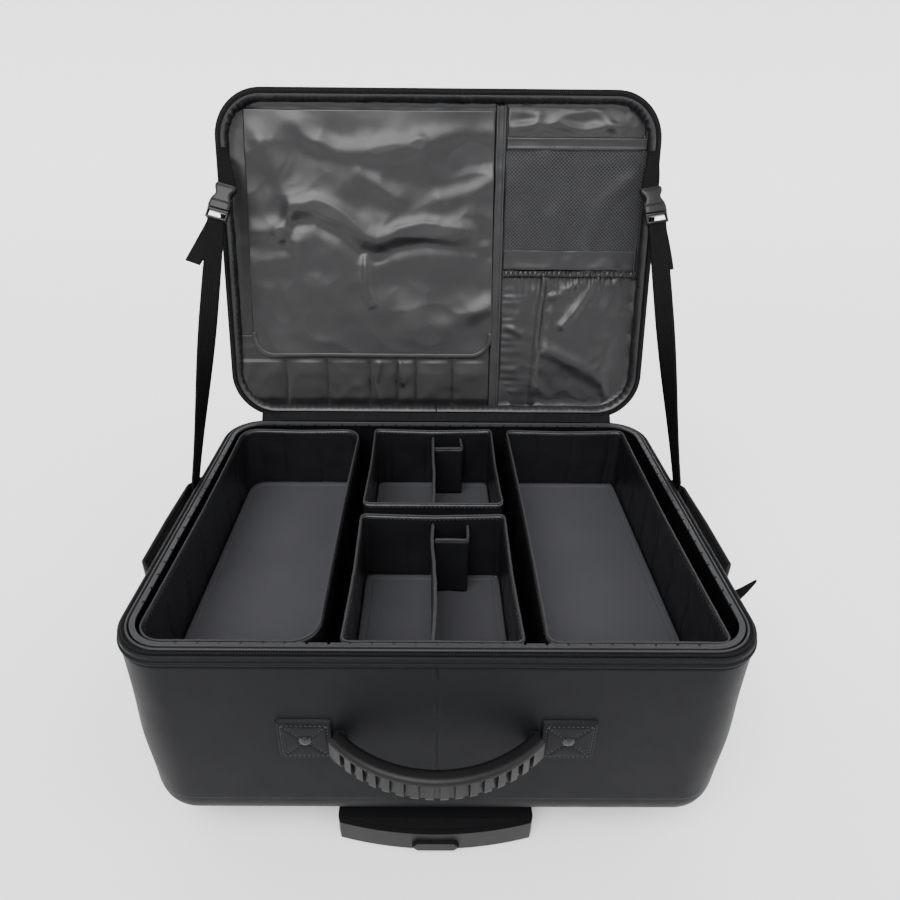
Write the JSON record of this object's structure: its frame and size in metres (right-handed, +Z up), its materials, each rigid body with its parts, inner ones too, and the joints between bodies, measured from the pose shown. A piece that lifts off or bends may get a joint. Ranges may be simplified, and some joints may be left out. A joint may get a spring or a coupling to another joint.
{
  "type": "rolling makeup case",
  "caption": "Soft-sided rolling makeup case with lift-out trays, a strapped lid with brush flap and pockets, carry handle, telescopic trolley and wheels",
  "frame": {"origin": "middle of the flat underside, at floor height, below the middle of the body", "axes": "+Z up; the hinge and the wheels are at +Y, the carry handle and the trolley grip at -Y; +X is the viewer's right"},
  "size_m": [0.5045, 0.4873, 0.546],
  "materials": {
    "coated_fabric": "smooth matt coated fabric",
    "bead": "dark covered cord",
    "zip_tape": "woven zip tape",
    "pale_trim": "light woven edging",
    "lining": "thin matt lining",
    "shiny_nylon": "shiny coated nylon with soft wrinkles",
    "tray_fabric": "stiff fabric with a pale bound edge",
    "floor_board": "pale matt covered board",
    "webbing": "woven webbing",
    "black_plastic": "moulded, satin",
    "buckle_plastic": "moulded, smooth",
    "gloss_insert": "polished",
    "rivet_metal": "dark nickel",
    "tube_metal": "satin drawn tube",
    "hub": "moulded",
    "tyre": "matt"
  },
  "bodies": {
    "case": {"body_shell": "coated_fabric", "body_base": "coated_fabric", "body_lining": "lining", "deck_ledges": "lining", "rim_bead": "bead", "rim_trim": "pale_trim", "body_zip": "zip_tape", "hinge_roll": "bead", "zip_sliders": "rivet_metal", "rivets": "rivet_metal", "handle_grip": "black_plastic", "handle_patches": "coated_fabric", "side_handle_left": "webbing", "side_handle_right": "webbing", "strap_anchors": "webbing", "trolley_pan": "black_plastic", "outer_tubes": "tube_metal", "wheel_housings": "black_plastic", "wheel_axles": "rivet_metal", "stand_feet": "black_plastic", "long_strap_left": "webbing", "long_strap_right": "webbing"},
    "deck": {"tray_deck": "tray_fabric"},
    "tray_left": {"tray_left": "tray_fabric", "board_left": "floor_board"},
    "tray_right": {"tray_right": "tray_fabric", "board_right": "floor_board"},
    "tray_rear": {"tray_rear": "tray_fabric", "board_rear": "floor_board", "divider_rear": "tray_fabric"},
    "tray_front": {"tray_front": "tray_fabric", "board_front": "floor_board", "divider_front": "tray_fabric"},
    "trolley_middle": {"middle_tubes": "tube_metal"},
    "trolley_inner": {"inner_tubes": "tube_metal", "trolley_grip": "black_plastic", "grip_insert": "gloss_insert", "button_spring": "rivet_metal"},
    "button": {"grip_button": "black_plastic"},
    "wheel_left": {"hub_left": "hub", "tyre_left": "tyre"},
    "wheel_right": {"hub_right": "hub", "tyre_right": "tyre"},
    "lid": {"lid_shell": "coated_fabric", "lid_bead": "bead", "lid_zip": "zip_tape", "lid_lining": "shiny_nylon", "brush_slots": "shiny_nylon", "lid_tapes": "lining", "mesh_net": "lining", "gathered_pocket": "shiny_nylon"},
    "flap": {"brush_flap": "shiny_nylon"},
    "link_left": {"short_strap_left": "webbing", "buckle_socket_left": "buckle_plastic"},
    "link_right": {"short_strap_right": "webbing", "buckle_socket_right": "buckle_plastic"},
    "plug_left": {"buckle_plug_left": "buckle_plastic"},
    "plug_right": {"buckle_plug_right": "buckle_plastic"},
    "pull_left": {"zip_pull_left": "rivet_metal"},
    "pull_right": {"zip_pull_right": "rivet_metal"}
  },
  "joints": [
    {"name": "lid_hinge", "type": "hinge", "parent": "case", "child": "lid", "pos_m": [0, 0.171, 0.21485], "axis": [-1, 0, 0], "range_deg": [-103.5, 0], "deforming": ["long_strap_left", "long_strap_right"]},
    {"name": "brush_flap_lift", "type": "hinge", "parent": "lid", "child": "flap", "pos_m": [-0.07, 0.25546, 0.52572], "axis": [-1, 0, 0], "range_deg": [0, 120]},
    {"name": "deck_lift", "type": "slide", "parent": "case", "child": "deck", "axis": [0, 0, 1], "range_m": [0, 0.1]},
    {"name": "tray_left_lift", "type": "slide", "parent": "deck", "child": "tray_left", "axis": [0, 0, 1], "range_m": [0, 0.2]},
    {"name": "tray_right_lift", "type": "slide", "parent": "deck", "child": "tray_right", "axis": [0, 0, 1], "range_m": [0, 0.2]},
    {"name": "tray_rear_lift", "type": "slide", "parent": "deck", "child": "tray_rear", "axis": [0, 0, 1], "range_m": [0, 0.2]},
    {"name": "tray_front_lift", "type": "slide", "parent": "deck", "child": "tray_front", "axis": [0, 0, 1], "range_m": [0, 0.2]},
    {"name": "trolley_middle_slide", "type": "slide", "parent": "case", "child": "trolley_middle", "axis": [0, -1, 0], "range_m": [0, 0.2]},
    {"name": "trolley_inner_slide", "type": "slide", "parent": "trolley_middle", "child": "trolley_inner", "axis": [0, -1, 0], "range_m": [0, 0.2]},
    {"name": "grip_button_press", "type": "slide", "parent": "trolley_inner", "child": "button", "axis": [0, 1, 0], "range_m": [0, 0.003], "stiffness_N_per_m": 400, "springref_m": -0.001, "deforming": ["button_spring"]},
    {"name": "wheel_left_spin", "type": "hinge", "parent": "case", "child": "wheel_left", "pos_m": [-0.165, 0.15, 0.025], "axis": [1, 0, 0], "continuous": true},
    {"name": "strap_left_swing", "type": "hinge", "parent": "lid", "child": "link_left", "pos_m": [-0.231, 0.24493, 0.48917], "axis": [0, 0.2334, 0.9724], "range_deg": [-150.1, 0.1]},
    {"name": "buckle_left_release", "type": "slide", "parent": "link_left", "child": "plug_left", "axis": [-0.2756, -0.5448, -0.792], "range_m": [0, 0.03]},
    {"name": "zip_pull_left_swing", "type": "hinge", "parent": "case", "child": "pull_left", "pos_m": [-0.1805, 0.1769, 0.207], "axis": [1, 0, 0], "range_deg": [0, 80]},
    {"name": "wheel_right_spin", "type": "hinge", "parent": "case", "child": "wheel_right", "pos_m": [0.165, 0.15, 0.025], "axis": [1, 0, 0], "continuous": true},
    {"name": "strap_right_swing", "type": "hinge", "parent": "lid", "child": "link_right", "pos_m": [0.231, 0.24493, 0.48917], "axis": [0, -0.2334, -0.9724], "range_deg": [-150.1, 0.1]},
    {"name": "buckle_right_release", "type": "slide", "parent": "link_right", "child": "plug_right", "axis": [0.1736, -0.5581, -0.8114], "range_m": [0, 0.03]},
    {"name": "zip_pull_right_swing", "type": "hinge", "parent": "case", "child": "pull_right", "pos_m": [0.1805, 0.1769, 0.207], "axis": [1, 0, 0], "range_deg": [0, 80]}
  ],
  "couplings": [
    {"joint": "strap_left_swing", "follows": "lid_hinge", "ratio": 1.449},
    {"joint": "strap_right_swing", "follows": "lid_hinge", "ratio": 1.449}
  ]
}
